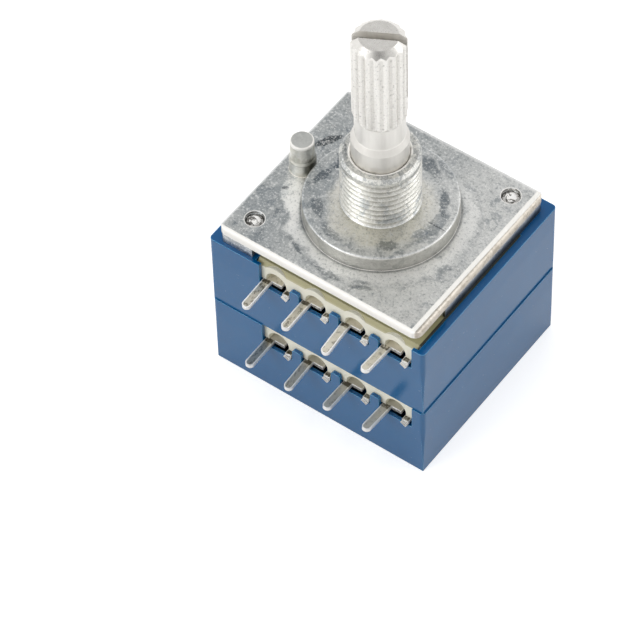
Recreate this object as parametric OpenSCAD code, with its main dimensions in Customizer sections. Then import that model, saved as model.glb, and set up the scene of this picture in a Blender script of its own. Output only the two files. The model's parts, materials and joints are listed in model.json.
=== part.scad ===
// Two-gang rotary potentiometer: die-cast mounting plate with a threaded bushing, split serrated
// shaft, and two moulded gang housings, each with an element carrier, a rotor, a wiper and
// four solder terminals. Millimetres.
// The origin is on the shaft axis at the panel face of the boss. +Z runs out along the shaft
// and the terminals point to -Y.

/* [Gang housings] */
// Width of a housing over its rim, along the terminal side
body_w = 28.5; // [28:0.1:31]
// Depth of a housing over its rim, from the terminal side to the back
body_d = 25.4; // [25:0.1:28]
// Offset of the housings from the shaft axis toward the back
body_shift = 0.35; // [0.1:0.05:0.6]
// Height of one housing
gang_h = 10.4; // [9.6:0.1:13]
// Thickness of the side and back walls at the rim
wall_t = 0.9; // [0.7:0.05:1.2]
// Thickness of the wall on the terminal side
front_wall_t = 0.46; // [0.4:0.02:0.6]
// Width of the shelf that carries the element carrier
shelf_w = 0.9; // [0.5:0.1:1.2]
// Thickness of the housing floor
floor_t = 1.5; // [1:0.1:2.2]
// Radius of the vertical corners
body_corner_r = 0.5; // [0.3:0.1:1.2]
// Draw-in of each wall between the rim and the floor
draft = 0.15; // [0.05:0.05:0.3]
// Height of the straight rim band above the drafted wall
rim_h = 3.05; // [2:0.05:4]
// Radius of the screw columns in two opposite corners
column_r = 2.2; // [1.8:0.1:2.6]

/* [Terminal window] */
// Depth of the window sill below the rim
sill_drop = 3.2; // [3.1:0.05:3.6]
// Depth of the tab tops below the rim
tab_drop = 1.5; // [1:0.1:2.2]
// Width of the tabs between the terminals
tab_w = 1.2; // [0.9:0.05:1.4]
// Bevel on the top corners of the tabs
tab_bevel = 0.2; // [0.1:0.05:0.45]
// Gap between a tab and the blade beside it
tab_gap = 0.15; // [0.05:0.05:0.2]
// Distance of the window's left end from the side of the housing
window_left_inset = 6.77; // [6.6:0.01:7.2]
// Distance of the window's right end from the side of the housing
window_right_inset = 1.55; // [1.4:0.05:2]
// Clear distance from the last clinch leg to the end of the window
window_end_gap = 0.43; // [0.3:0.01:1]

/* [Element carriers] */
// Thickness of the carrier board
board_t = 1.6; // [1.2:0.1:1.8]
// Height of the lip along the terminal side
lip_h = 2.55; // [2.4:0.05:2.55]
// Depth of the lip from front to back
lip_d = 1.9; // [1.6:0.1:2.3]
// Bevel on the upper front edge of the board
lip_bevel = 0.5; // [0.3:0.05:0.6]
// Inside radius of the arch over each terminal
arch_r = 1.36; // [1.2:0.02:1.4]
// Height of the arch centre above the lower edge of the lip
arch_rise = 0.3; // [0:0.05:0.3]
// Offset of the arch from the middle of the blade
arch_shift = 1.2; // [1:0.05:1.4]
// Thickness of the bead round each arch
bead_t = 0.85; // [0.6:0.05:0.85]
// Depth of the arch openings
arch_d = 1.1; // [0.8:0.1:1.3]
// Clearance of a carrier in its housing
carrier_gap = 0.08; // [0.04:0.02:0.15]
// Radius of the opening in the middle of the board
board_bore_r = 4.3; // [4.1:0.1:4.4]
// Thickness of the printed layers
print_t = 0.06; // [0.04:0.01:0.1]
// Radius of the collector ring's inner edge
collector_in_r = 4.6; // [4.5:0.05:4.8]
// Width of the collector ring
collector_w = 0.8; // [0.7:0.05:0.9]
// Gap between the collector ring and the resistance track
print_gap = 0.35; // [0.2:0.05:0.4]
// Width of the resistance track
track_w = 1.8; // [1.6:0.1:1.9]

/* [Terminals] */
// Width of a blade
blade_w = 1.06; // [0.8:0.02:1.2]
// Thickness of the terminal strip
blade_t = 0.45; // [0.3:0.05:0.5]
// Reach of the blades beyond the housing
blade_reach = 3.75; // [2.5:0.05:5]
// Gap between a clinch leg and the tab beside it
leg_tab_gap = 0.12; // [0.1:0.01:0.4]
// Width of the clinch leg
leg_w = 0.8; // [0.6:0.05:0.9]
// Reach of the clinch leg beyond the housing
leg_reach = 0.3; // [0.2:0.05:1]
// Twist of the clinch leg's end
leg_twist = 30; // [10:1:40]
// Depth of the cross bar that joins blade and leg
bar_d = 0.8; // [0.6:0.1:0.9]
// Width of the shoulder beside the blade, seen through the arch
shoulder_w = 1.3; // [0.8:0.05:1.4]
// Reach of the shoulder in front of the cross bar
shoulder_d = 0.9; // [0.5:0.05:0.9]
// Droop of the blades on the front gang, in degrees
front_droop = [4, 2, 10, -5]; // [-10:1:10]
// Droop of the blades on the rear gang, in degrees
rear_droop = [2, 6, -2, -5]; // [-10:1:10]

/* [Mounting plate] */
// Set-back of the plate's sides from the sides of the housing
plate_side_set = 1.05; // [0.9:0.05:1.5]
// Set-back of the plate's edge from the housing on the terminal side
plate_front_set = 0.35; // [0.1:0.05:0.6]
// Set-back of the plate's edge from the housing at the back
plate_back_set = 0.9; // [0.8:0.05:1.4]
// Thickness of the plate
plate_t = 1; // [0.8:0.05:1.4]
// Height of the open space between the plate and the front housing
plate_lift = 1.52; // [1.3:0.02:2.2]
// Radius of the plate's corners in plan
plate_corner_r = 1; // [0.6:0.1:2]
// Rounding of the plate's upper edges
plate_edge_r = 0.5; // [0.3:0.05:0.8]
// Thickness of the skirt under the plate
skirt_t = 1.2; // [0.8:0.1:1.5]
// Set-back of the skirt from the plate's edge
skirt_inset = 0.05; // [0.05:0.05:0.5]
// Length of the skirt left away beside the terminal side
skirt_gap = 5.2; // [4:0.1:8]
// Wall of the corner blocks round the screws
block_wall = 0.7; // [0.6:0.1:1.4]
// Radius of the boss
boss_r = 8.64; // [8:0.02:9]
// Height of the boss above the plate
boss_h = 2.08; // [1.6:0.02:3]
// Rounding of the boss edge
boss_edge_r = 0.3; // [0.1:0.05:0.5]
// Radius of the recess inside the boss that holds the stop
recess_r = 7; // [6.6:0.1:7.2]
// Thickness of the boss over that recess
roof_t = 1.3; // [1:0.1:1.6]

/* [Threaded bushing] */
// Outside radius of the thread
bush_r = 4.45; // [4.3:0.01:4.6]
// Length of the bushing above the boss
bush_l = 7.6; // [6:0.1:12]
// Pitch of the thread
thread_pitch = 0.75; // [0.6:0.05:1]
// Depth of the thread grooves
thread_depth = 0.38; // [0.2:0.02:0.45]
// Height of the lead-in at the end of the bushing
lead_h = 0.35; // [0.2:0.05:0.9]
// Width of the lead-in
lead_w = 0.35; // [0.2:0.05:0.85]
// Plain length between the lead-in and the thread
land_h = 0.45; // [0.2:0.05:0.8]
// Bevel round the end of the bore
bore_bevel = 0.12; // [0.05:0.01:0.2]

/* [Locating lug] */
// Distance of the lug's centre from the side of the plate
lug_inset = 2.7; // [2.2:0.05:2.9]
// Radius of the lug
lug_r = 1.36; // [1:0.02:1.5]
// Extra radius of the lug's root, which tapers off at the panel face
lug_root = 0.17; // [0.16:0.01:0.3]
// Height of the lug above the panel face
lug_h = 2.5; // [1.5:0.1:4]
// Rounding of the lug's end
lug_edge_r = 0.25; // [0.1:0.05:0.5]

/* [Shaft] */
// Length of the shaft from the panel face
shaft_l = 25.7; // [22:0.1:40]
// Radius over the serration
serration_r = 3; // [2.9:0.01:3.1]
// Number of teeth
teeth = 18; // [16:1:24]
// Depth of a tooth
tooth_h = 0.27; // [0.15:0.01:0.3]
// Length of the serrated end
serration_l = 11.5; // [9:0.1:12]
// Height of the chamfer at the tip
tip_h = 0.67; // [0.3:0.01:1]
// Width of the chamfer at the tip
tip_w = 0.85; // [0.4:0.01:0.95]
// Width of the slot
slot_w = 1; // [0.8:0.05:1.2]
// Depth of the slot
slot_l = 9.6; // [6:0.1:10]
// Direction of the slot in plan
slot_angle = 28.8; // [0:0.1:180]
// Radius of the neck under the serration
neck_r = 2.78; // [2.5:0.01:2.85]
// Radius of the journal that runs in the bushing
journal_r = 3.18; // [3.1:0.01:3.25]
// Height of the journal above the bushing
journal_up = 2.44; // [1:0.02:2.6]
// Height of the taper between journal and neck
taper_h = 0.83; // [0.4:0.01:1]
// Radius of the flange inside the boss
flange_r = 5.2; // [4.8:0.1:5.6]
// Thickness of the flange
flange_t = 0.9; // [0.7:0.05:1.2]
// Radius of the keyed part that drives the rotors
key_r = 2.5; // [2.3:0.05:2.7]
// Width across the two flats of the keyed part
key_flats = 4; // [3.6:0.05:4.2]
// Radius of the pivot at the rear
pivot_r = 1.9; // [1.7:0.05:2]

/* [Stop] */
// Total turn of the shaft in degrees
turn = 300; // [260:5:300]
// Width of the tab on the stop plate in degrees
tab_angle = 24; // [20:1:30]
// Free angle left before the tab meets the stop
stop_gap = 0.6; // [0.4:0.1:1]
// Radius of the stop plate
stop_r = 5.4; // [5:0.1:5.6]
// Reach of the tab from the shaft axis
stop_reach = 6.5; // [6.3:0.1:6.5]
// Thickness of the stop plate
stop_t = 0.8; // [0.5:0.05:1]
// Thickness of the thrust washer
washer_t = 0.3; // [0.2:0.05:0.4]

/* [Rotors and wipers] */
// Radius of a rotor
rotor_r = 8.8; // [8.4:0.1:9]
// Thickness of the rotor disc
rotor_t = 1.4; // [1:0.1:1.8]
// Radius of the hub
hub_r = 3.9; // [3.6:0.1:4]
// Number of ribs between hub and disc
rib_count = 6; // [4:1:8]
// Thickness of the ribs and the rim bead
rib_t = 0.7; // [0.5:0.1:1]
// Depth of the ribs below the disc
rib_h = 1.8; // [1:0.1:2.2]
// Thickness of the wiper spring
spring_t = 0.2; // [0.15:0.05:0.25]
// Width of a wiper finger
finger_w = 0.6; // [0.5:0.05:0.7]
// Length of a wiper finger
finger_l = 3.4; // [3:0.1:3.8]
// Distance between the board and the rotor disc
wiper_space = 1.4; // [1.3:0.05:1.6]

/* [Screws] */
// Distance of the screws from the sides of the housing
screw_side_inset = 3.82; // [3.7:0.01:3.9]
// Distance of the screws from the housing's front and back
screw_end_inset = 3.4; // [3.3:0.01:3.5]
// Radius of the screw thread
screw_r = 1; // [0.8:0.05:1.1]
// Radius of the screw head
head_r = 1.8; // [1.6:0.05:1.9]
// Height of the screw head
head_h = 1.2; // [0.9:0.05:1.3]
// Depth of the screw's end below the top of the plate
tip_sink = 0.4; // [0.2:0.05:0.5]
// Height of the taper at the screw's end
point_h = 0.3; // [0.2:0.05:0.4]
// Width of the taper at the screw's end
point_w = 0.4; // [0.2:0.05:0.6]

/* [Clearances] */
// Radial running clearance of the shaft in its bearings
run_gap = 0.04; // [0.02:0.01:0.08]
// Axial play between moving and fixed faces
end_play = 0.05; // [0.03:0.01:0.1]
// Radial clearance of the screws in the housings
hole_gap = 0.15; // [0.1:0.05:0.2]
// Clearance of a keyed bore on the shaft
key_gap = 0.03; // [0.02:0.01:0.06]

/* [Hidden] */
$fn = 64;
terminal_count = 4;
plate_top = -boss_h;
plate_low = plate_top - plate_t;
front_top = plate_low - plate_lift;
rear_top = front_top - gang_h;
rear_face = rear_top - gang_h;
body_front = body_shift - body_d / 2;
body_back = body_shift + body_d / 2;
body_side = body_w / 2;
pocket_side = body_side - wall_t;
pocket_back = body_back - wall_t;
lip_front = body_front + front_wall_t;
lip_back = lip_front + lip_d;
window_left = window_left_inset - body_side;
window_right = body_side - window_right_inset;
row_first = window_left + tab_gap + blade_w / 2;
cell_w = blade_w / 2 + tab_gap + tab_w + leg_tab_gap;
terminal_pitch = (window_right - window_end_gap - row_first + cell_w) / terminal_count;
leg_offset = terminal_pitch - cell_w - leg_w / 2;
bar_front = lip_front + arch_d;
plate_side = body_side - plate_side_set;
plate_front = body_front + plate_front_set;
plate_back = body_back - plate_back_set;
lug_x = plate_side - lug_inset;
screw_x = body_side - screw_side_inset;
screw_y = body_d / 2 - screw_end_inset;
collector_r = collector_in_r + collector_w / 2;
track_r = collector_in_r + collector_w + print_gap + track_w / 2;
recess_top = -roof_t;
flange_top = recess_top - washer_t - end_play;
stop_top = flange_top - flange_t;
journal_top = bush_l + journal_up;
rotor_drop = board_t + print_t + wiper_space;
hub_drop = gang_h - floor_t - end_play;
pivot_top = rear_face + floor_t + end_play;
head_sink = 0.2;
head_seat = rear_face + head_sink + head_h;
pocket_corner_r = 0.4;
rim_play = 0.03;
bead_d = 0.6;
slot_play = 0.1;
relief_h = 1;
leg_gap = 0.1;
crest = 0.14;
hub_collar = 0.8;
rim_bead = 0.7;
spring_ring = 1.05;
arm_w = 1.2;
finger_shift = 0.42;
contact_r = 0.22;
drive_w = 0.45;
drive_l = 2.2;
drive_d = 0.7;
thread_play = 0.04;
hole_bevel = 0.1;
hole_groove = 0.12;
root_taper = 0.3;
shaft_gap = 0.5;
tab_root = 1;
shaft_end_gap = 0.3;
over = 0.01;
through = 1;

// Place of terminal i along the row, counted from 0
function terminal_x(i) = row_first + i * terminal_pitch;

// Points along an arc of radius r round (cx, cy), between two angles
function arc(cx, cy, r, from, to, n = 6) =
  [for (i = [0:n]) let (a = from + (to - from) * i / n) [cx + r * cos(a), cy + r * sin(a)]];

// Flat rectangle with round corners
module rounded_rect(w, d, r) {
  square([w - 2 * r, d], center = true);
  square([w, d - 2 * r], center = true);
  for (x = [-1, 1], y = [-1, 1])
    translate([x * (w / 2 - r), y * (d / 2 - r)]) circle(r);
}

// Box given by its lower and upper corners
module box(a, b) {
  translate(a) cube([b[0] - a[0], b[1] - a[1], b[2] - a[2]]);
}

// Flat sector between two radii, centred on an angle
module sector(r_in, r_out, angle, middle) {
  intersection() {
    difference() {
      circle(r_out);
      circle(r_in);
    }
    polygon(concat([[0, 0]], arc(0, 0, 2 * r_out, middle - angle / 2, middle + angle / 2)));
  }
}

// Keyed bore or shank: a circle with two flats
module double_d(r, flats) {
  intersection() {
    circle(r);
    square([2 * r, flats], center = true);
  }
}

// Both screw positions, in opposite corners of the housing
module at_screws() {
  for (side = [-1, 1]) translate([side * screw_x, body_shift + side * screw_y, 0]) children();
}

// Profile of a housing seen along one wall: a straight rim band over a drafted wall
module draft_profile(width) {
  polygon([[-width / 2, 0], [-width / 2, -rim_h], [draft - width / 2, -gang_h],
           [width / 2 - draft, -gang_h], [width / 2, -rim_h], [width / 2, 0]]);
}

// Outer block of a housing, drafted on all four sides, rim at z = 0
module housing_block() {
  intersection() {
    translate([0, body_shift, -gang_h]) linear_extrude(gang_h)
      rounded_rect(body_w, body_d, body_corner_r);
    translate([0, body_shift + body_d, 0]) rotate([90, 0, 0])
      linear_extrude(2 * body_d) draft_profile(body_w);
    translate([-body_w, body_shift, 0]) rotate([90, 0, 90])
      linear_extrude(2 * body_w) draft_profile(body_d);
  }
}

// Column round a screw, filling the corner of the housing behind it
module corner_column(height, gap = 0) {
  r = column_r + gap;
  translate([0, body_shift, 0]) for (side = [0, 180])
    rotate([0, 0, side]) translate([screw_x, screw_y, 0]) {
      cylinder(r = r, h = height);
      translate([-r, 0, 0]) cube([body_w, body_d, height]);
      translate([0, -r, 0]) cube([body_w, body_d, height]);
    }
}

// One tab between two terminals, in the plane of the terminal side
module tab_profile(middle) {
  left = middle - tab_w / 2;
  right = middle + tab_w / 2;
  polygon([[left, -sill_drop - over], [left, -tab_drop - tab_bevel], [left + tab_bevel, -tab_drop],
           [right - tab_bevel, -tab_drop], [right, -tab_drop - tab_bevel], [right, -sill_drop - over]]);
}

// Window in the terminal side, with the tabs left standing
module terminal_window() {
  difference() {
    box([window_left, body_front - through, -sill_drop], [window_right, lip_front + over, through]);
    for (i = [1:terminal_count - 1])
      translate([0, lip_front + through, 0]) rotate([90, 0, 0])
        linear_extrude(front_wall_t + 3 * through)
        tab_profile(terminal_x(i) - blade_w / 2 - tab_gap - tab_w / 2);
  }
}

// Moulded housing with its rim at z = 0, open toward the shaft end
module gang_housing(bearing_r) {
  difference() {
    union() {
      difference() {
        housing_block();
        // Pocket for the element carrier
        translate([0, (lip_front + pocket_back) / 2, -board_t])
          linear_extrude(board_t + through)
            rounded_rect(2 * pocket_side, pocket_back - lip_front, pocket_corner_r);
        // Slot for the lip and the terminals
        box([-pocket_side, lip_front, -sill_drop - relief_h],
            [pocket_side, lip_back + slot_play, through]);
        // Space for the rotor, inside the shelf
        box([shelf_w - pocket_side, body_front + wall_t, floor_t - gang_h],
            [pocket_side - shelf_w, pocket_back - shelf_w, through]);
      }
      intersection() {
        translate([0, 0, -gang_h]) corner_column(gang_h);
        housing_block();
      }
    }
    terminal_window();
    translate([0, 0, -gang_h - through]) cylinder(r = bearing_r, h = floor_t + 2 * through);
    at_screws() translate([0, 0, -gang_h - through])
      cylinder(r = screw_r + hole_gap, h = gang_h + 2 * through);
  }
}

module front_housing() {
  color("royalblue") translate([0, 0, front_top]) gang_housing(key_r + shaft_gap);
}

// The floor has a counterbore for each screw head
module rear_housing() {
  color("royalblue") translate([0, 0, rear_top]) difference() {
    gang_housing(pivot_r + run_gap);
    at_screws() translate([0, 0, -gang_h - through])
      cylinder(r = head_r + hole_gap, h = head_sink + head_h + through);
  }
}

// Every arch of a carrier, as an axis that points to the front
module at_arches(back) {
  for (i = [0:terminal_count - 1])
    translate([terminal_x(i) + arch_shift, back, arch_rise - lip_h]) rotate([90, 0, 0]) children();
}

// Element carrier with its top at z = 0: a board with a lip that arches over the terminals
module element_carrier() {
  side = pocket_side - carrier_gap;
  front = lip_front + carrier_gap;
  back = pocket_back - carrier_gap;
  difference() {
    union() {
      difference() {
        union() {
          translate([0, (front + back) / 2, -board_t]) linear_extrude(board_t)
            rounded_rect(2 * side, back - front, pocket_corner_r);
          box([-side, front, -lip_h], [side, lip_back, -over]);
        }
        translate([-body_w, front, 0]) rotate([90, 0, 90]) linear_extrude(2 * body_w)
          polygon([[-through, -lip_bevel - through], [lip_bevel + through, through], [-through, through]]);
      }
      // Beads round the arches stand out of the bevel
      intersection() {
        box([window_left, front, -lip_h], [window_right, front + bead_d, 0]);
        at_arches(front + bead_d) cylinder(r = arch_r + bead_t, h = bead_d);
      }
    }
    at_arches(front + arch_d) linear_extrude(arch_d + through) {
      circle(arch_r);
      translate([-arch_r, -arch_rise - through]) square([2 * arch_r, arch_rise + through]);
    }
    translate([0, 0, -lip_h - through]) cylinder(r = board_bore_r, h = lip_h + 2 * through);
    translate([0, 0, -lip_h - through]) corner_column(lip_h + 2 * through, carrier_gap);
  }
}

module front_carrier() {
  color("cornsilk") translate([0, 0, front_top]) element_carrier();
}

module rear_carrier() {
  color("cornsilk") translate([0, 0, rear_top]) element_carrier();
}

// Printed ring sector on the rear face of a carrier
module print(top, radius, width, angle) {
  translate([0, 0, top - board_t - print_t]) rotate([0, 0, 270 - angle / 2])
    rotate_extrude(angle = angle) translate([radius - width / 2, 0]) square([width, print_t]);
}

module front_track() { color("dimgray") print(front_top, track_r, track_w, turn + tab_angle); }

module rear_track() { color("dimgray") print(rear_top, track_r, track_w, turn + tab_angle); }

module front_collector() { color("silver") print(front_top, collector_r, collector_w, 360); }

module rear_collector() { color("silver") print(rear_top, collector_r, collector_w, 360); }

// Rotor keyed to the shaft: a disc with a rim bead and ribs on a long hub
module rotor(top) {
  disc_top = top - rotor_drop;
  rib_z = disc_top - rotor_t - rib_h;
  translate([0, 0, rib_z]) difference() {
    union() {
      translate([0, 0, rib_h]) cylinder(r = rotor_r, h = rotor_t);
      difference() {
        cylinder(r = rotor_r, h = rib_h + over);
        translate([0, 0, -through]) cylinder(r = rotor_r - rim_bead, h = rib_h + 2 * through);
      }
      for (i = [0:rib_count - 1])
        rotate([0, 0, i * 360 / rib_count])
          translate([hub_r / 2, -rib_t / 2, 0])
            cube([rotor_r - rim_bead / 2 - hub_r / 2, rib_t, rib_h + over]);
      translate([0, 0, top - hub_drop - rib_z])
        cylinder(r = hub_r, h = disc_top + hub_collar - (top - hub_drop));
    }
    translate([0, 0, -gang_h]) linear_extrude(2 * gang_h)
      double_d(key_r + key_gap, key_flats + 2 * key_gap);
  }
}

module front_rotor() { color("ivory") rotor(front_top); }

module rear_rotor() { color("ivory") rotor(rear_top); }

// Spring finger that rises from the arm to the printed layer, contact at [0, 0]
module finger(rise) {
  slope = asin(rise / finger_l);
  translate([-finger_w / 2, -finger_l * cos(slope), 0]) rotate([slope, 0, 0])
    cube([finger_w, finger_l, spring_t]);
  translate([-finger_w / 2, 0, rise + spring_t - contact_r]) rotate([0, 90, 0])
    cylinder(r = contact_r, h = finger_w);
}

// Wiper: a ring round the hub with an arm and three fingers
module wiper(top) {
  rise = wiper_space - end_play - spring_t;
  reach = finger_l * cos(asin(rise / finger_l));
  translate([0, 0, top - rotor_drop]) rotate([0, 0, 90]) {
    difference() {
      union() {
        cylinder(r = hub_r + spring_ring, h = spring_t);
        box([hub_r / 2, -reach - arm_w, 0],
            [track_r + finger_shift + finger_w / 2, -reach + over, spring_t]);
      }
      translate([0, 0, -through]) cylinder(r = hub_r + key_gap, h = 2 * through);
    }
    for (r = [collector_r, track_r - finger_shift, track_r + finger_shift])
      translate([r, 0, 0]) finger(rise);
  }
}

module front_wiper() { color("goldenrod") wiper(front_top); }

module rear_wiper() { color("goldenrod") wiper(rear_top); }

// Stamped terminal under the lip: blade with a shoulder, cross bar and clinch leg
module terminal(top, i, droop) {
  x = terminal_x(i);
  bar_back = bar_front + bar_d;
  leg_left = leg_offset - leg_w / 2;
  bend_y = body_front - leg_gap;
  blade_l = blade_reach - leg_gap - blade_w / 2;
  translate([x, 0, top - lip_h - blade_t]) {
    linear_extrude(blade_t) {
      translate([-blade_w / 2, bend_y]) square([blade_w, bar_back - bend_y]);
      translate([-blade_w / 2, bar_front]) square([leg_left + leg_w + blade_w / 2, bar_d]);
      translate([leg_left, bend_y]) square([leg_w, bar_back - bend_y]);
      translate([0, bar_front - shoulder_d]) square([blade_w / 2 + shoulder_w, shoulder_d + over]);
    }
    translate([0, bend_y, blade_t / 2]) rotate([droop, 0, 0])
      translate([0, 0, -blade_t / 2]) linear_extrude(blade_t) {
        translate([-blade_w / 2, -blade_l]) square([blade_w, blade_l + over]);
        translate([0, -blade_l]) circle(blade_w / 2);
      }
    translate([leg_left, bend_y - leg_reach + leg_gap, blade_t / 2]) rotate([0, leg_twist, 0])
      translate([0, 0, -blade_t / 2]) cube([leg_w, leg_reach - leg_gap + over, blade_t]);
  }
}

module front_terminal(i) { color("gainsboro") terminal(front_top, i, front_droop[i]); }

module rear_terminal(i) { color("gainsboro") terminal(rear_top, i, rear_droop[i]); }

// Plate section with its two upper corners rounded, top at y = 0
module edge_profile(width) {
  polygon(concat([[-width / 2, -plate_t], [width / 2, -plate_t]],
                 arc(width / 2 - plate_edge_r, -plate_edge_r, plate_edge_r, 0, 90),
                 arc(plate_edge_r - width / 2, -plate_edge_r, plate_edge_r, 90, 180)));
}

// Plate with rounded upper edges and round corners in plan
module plate_body() {
  width = 2 * plate_side;
  depth = plate_back - plate_front;
  translate([0, (plate_front + plate_back) / 2, plate_top]) intersection() {
    translate([0, 0, -plate_t]) linear_extrude(plate_t)
      rounded_rect(width, depth, plate_corner_r);
    translate([0, depth, 0]) rotate([90, 0, 0]) linear_extrude(2 * depth) edge_profile(width);
    translate([-width, 0, 0]) rotate([90, 0, 90]) linear_extrude(2 * width) edge_profile(depth);
  }
}

// Skirt under three sides of the plate, with a block at each screw
module skirt() {
  side = plate_side - skirt_inset;
  back = plate_back - skirt_inset;
  front = lip_front + rim_play;
  block = screw_r + block_wall;
  translate([0, 0, front_top]) linear_extrude(plate_low - front_top + over) intersection() {
    translate([0, (plate_front + plate_back) / 2])
      rounded_rect(2 * side, plate_back - plate_front - 2 * skirt_inset, plate_corner_r - skirt_inset);
    union() {
      difference() {
        translate([-side, front]) square([2 * side, back - front]);
        translate([skirt_t - side, front - through])
          square([2 * side - 2 * skirt_t, back - front + through - skirt_t]);
        translate([0, front - through]) square([side + through, skirt_gap + through]);
      }
      translate([-side, front])
        square([side - screw_x + block, body_shift - screw_y - front + block]);
      translate([screw_x - block, body_shift + screw_y - block])
        square([side - screw_x + block, back - body_shift - screw_y + block]);
    }
  }
}

// Boss with a rounded edge
module boss_profile() {
  polygon(concat([[0, plate_top - over], [boss_r, plate_top - over]],
                 arc(boss_r - boss_edge_r, -boss_edge_r, boss_edge_r, 0, 90), [[0, 0]]));
}

// Bushing with thread grooves of a flat crest, from the boss up to a plain land
module bushing_profile() {
  thread_l = bush_l - lead_h - land_h;
  turns = floor(thread_l / thread_pitch);
  start = thread_l - turns * thread_pitch;
  polygon(concat([[0, -over], [bush_r, -over]],
                 [for (k = [0:turns - 1], j = [0:2])
                   let (z = start + k * thread_pitch)
                   [bush_r - (j == 1 ? thread_depth : 0),
                    z + (j == 0 ? 0 : j == 1 ? (thread_pitch - crest) / 2 : thread_pitch - crest)]],
                 [[bush_r, bush_l - lead_h], [bush_r - lead_w, bush_l], [0, bush_l]]));
}

// Lug that keeps the body from turning in the panel
module lug_profile() {
  root_r = lug_r + lug_root;
  polygon(concat([[0, plate_top - over], [root_r, plate_top - over],
                  [root_r, -root_taper], [lug_r, 0]],
                 arc(lug_r - lug_edge_r, lug_h - lug_edge_r, lug_edge_r, 0, 90), [[0, lug_h]]));
}

module mounting_plate() {
  stop_angle = 360 - turn - tab_angle - 2 * stop_gap;
  hole_r = screw_r + thread_play;
  color("darkgray") {
    difference() {
      union() {
        plate_body();
        skirt();
        rotate_extrude($fn = 96) boss_profile();
        rotate_extrude($fn = 96) bushing_profile();
        translate([-lug_x, 0, 0]) rotate_extrude() lug_profile();
      }
      translate([0, 0, plate_low - over]) cylinder(r = recess_r, h = recess_top - plate_low + over);
      translate([0, 0, plate_low - through])
        cylinder(r = journal_r + run_gap, h = bush_l - plate_low + 2 * through);
      translate([0, 0, bush_l - bore_bevel])
        cylinder(r1 = journal_r + run_gap, r2 = journal_r + run_gap + 2 * bore_bevel, h = 2 * bore_bevel);
      at_screws() {
        translate([0, 0, front_top - through])
          cylinder(r = hole_r, h = plate_top - front_top + 2 * through);
        translate([0, 0, plate_top - hole_bevel])
          cylinder(r1 = hole_r, r2 = hole_r + 2 * hole_bevel, h = 2 * hole_bevel);
        // First turn of the thread that the screw's end leaves in sight
        translate([0, 0, plate_top - hole_bevel]) rotate_extrude()
          polygon([[0, -3 * hole_groove], [hole_r, -3 * hole_groove],
                   [hole_r + hole_groove, -2 * hole_groove], [hole_r, -hole_groove], [0, -hole_groove]]);
      }
    }
    // Fixed stop inside the boss
    translate([0, 0, stop_top - stop_t]) linear_extrude(recess_top - stop_top + stop_t + over)
      sector(stop_r + 2 * end_play, recess_r + over, stop_angle, 270);
  }
}

// Star outline of the serration
module serration_outline() {
  polygon([for (i = [0:2 * teeth - 1])
    let (r = serration_r - (i % 2) * tooth_h, a = i * 180 / teeth) [r * cos(a), r * sin(a)]]);
}

module shaft() {
  serration_low = shaft_l - serration_l;
  run_out = serration_r - neck_r;
  color("lightgray") {
    difference() {
      intersection() {
        translate([0, 0, serration_low - 2 * run_out]) linear_extrude(serration_l + 2 * run_out)
          serration_outline();
        rotate_extrude() polygon([[0, serration_low - 2 * run_out], [neck_r, serration_low - 2 * run_out],
          [serration_r, serration_low], [serration_r, shaft_l - tip_h],
          [serration_r - tip_w, shaft_l], [0, shaft_l]]);
      }
      rotate([0, 0, slot_angle]) translate([0, 0, shaft_l])
        cube([3 * serration_r, slot_w, 2 * slot_l], center = true);
    }
    rotate_extrude() polygon([[0, serration_low - run_out], [neck_r, serration_low - 2 * run_out],
      [neck_r, journal_top + taper_h], [journal_r, journal_top], [journal_r, flange_top - over],
      [0, flange_top - over]]);
    translate([0, 0, flange_top - flange_t]) cylinder(r = flange_r, h = flange_t);
    translate([0, 0, pivot_top]) linear_extrude(stop_top - pivot_top + over) double_d(key_r, key_flats);
    translate([0, 0, rear_face + shaft_end_gap])
      cylinder(r = pivot_r, h = pivot_top - rear_face - shaft_end_gap + over);
  }
}

module thrust_washer() {
  color("white") translate([0, 0, recess_top - washer_t]) difference() {
    cylinder(r = flange_r, h = washer_t);
    translate([0, 0, -through]) cylinder(r = journal_r + run_gap, h = washer_t + 2 * through);
  }
}

module stop_plate() {
  color("slategray") translate([0, 0, stop_top - stop_t]) linear_extrude(stop_t) difference() {
    union() {
      circle(stop_r);
      sector(stop_r - tab_root, stop_reach, tab_angle, 90);
    }
    double_d(key_r + key_gap, key_flats + 2 * key_gap);
  }
}

// Long screw from the rear face through both housings into the plate
module long_screw() {
  color("silver") difference() {
    union() {
      translate([0, 0, rear_face + head_sink]) cylinder(r = head_r, h = head_h);
      translate([0, 0, head_seat - over])
        cylinder(r = screw_r, h = plate_top - tip_sink - point_h - head_seat + over);
      translate([0, 0, plate_top - tip_sink - point_h])
        cylinder(r1 = screw_r, r2 = screw_r - point_w, h = point_h);
    }
    for (a = [0, 90]) rotate([0, 0, a]) translate([0, 0, rear_face + head_sink])
      cube([drive_l, drive_w, 2 * drive_d], center = true);
  }
}

module left_screw() { translate([-screw_x, body_shift - screw_y, 0]) long_screw(); }

module right_screw() { translate([screw_x, body_shift + screw_y, 0]) long_screw(); }

mounting_plate();
shaft();
thrust_washer();
stop_plate();
front_housing();
rear_housing();
front_carrier();
rear_carrier();
front_track();
rear_track();
front_collector();
rear_collector();
front_rotor();
rear_rotor();
front_wiper();
rear_wiper();
front_terminal(0);  // front_terminal_1
front_terminal(1);  // front_terminal_2
front_terminal(2);  // front_terminal_3
front_terminal(3);  // front_terminal_4
rear_terminal(0);  // rear_terminal_1
rear_terminal(1);  // rear_terminal_2
rear_terminal(2);  // rear_terminal_3
rear_terminal(3);  // rear_terminal_4
left_screw();
right_screw();
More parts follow.
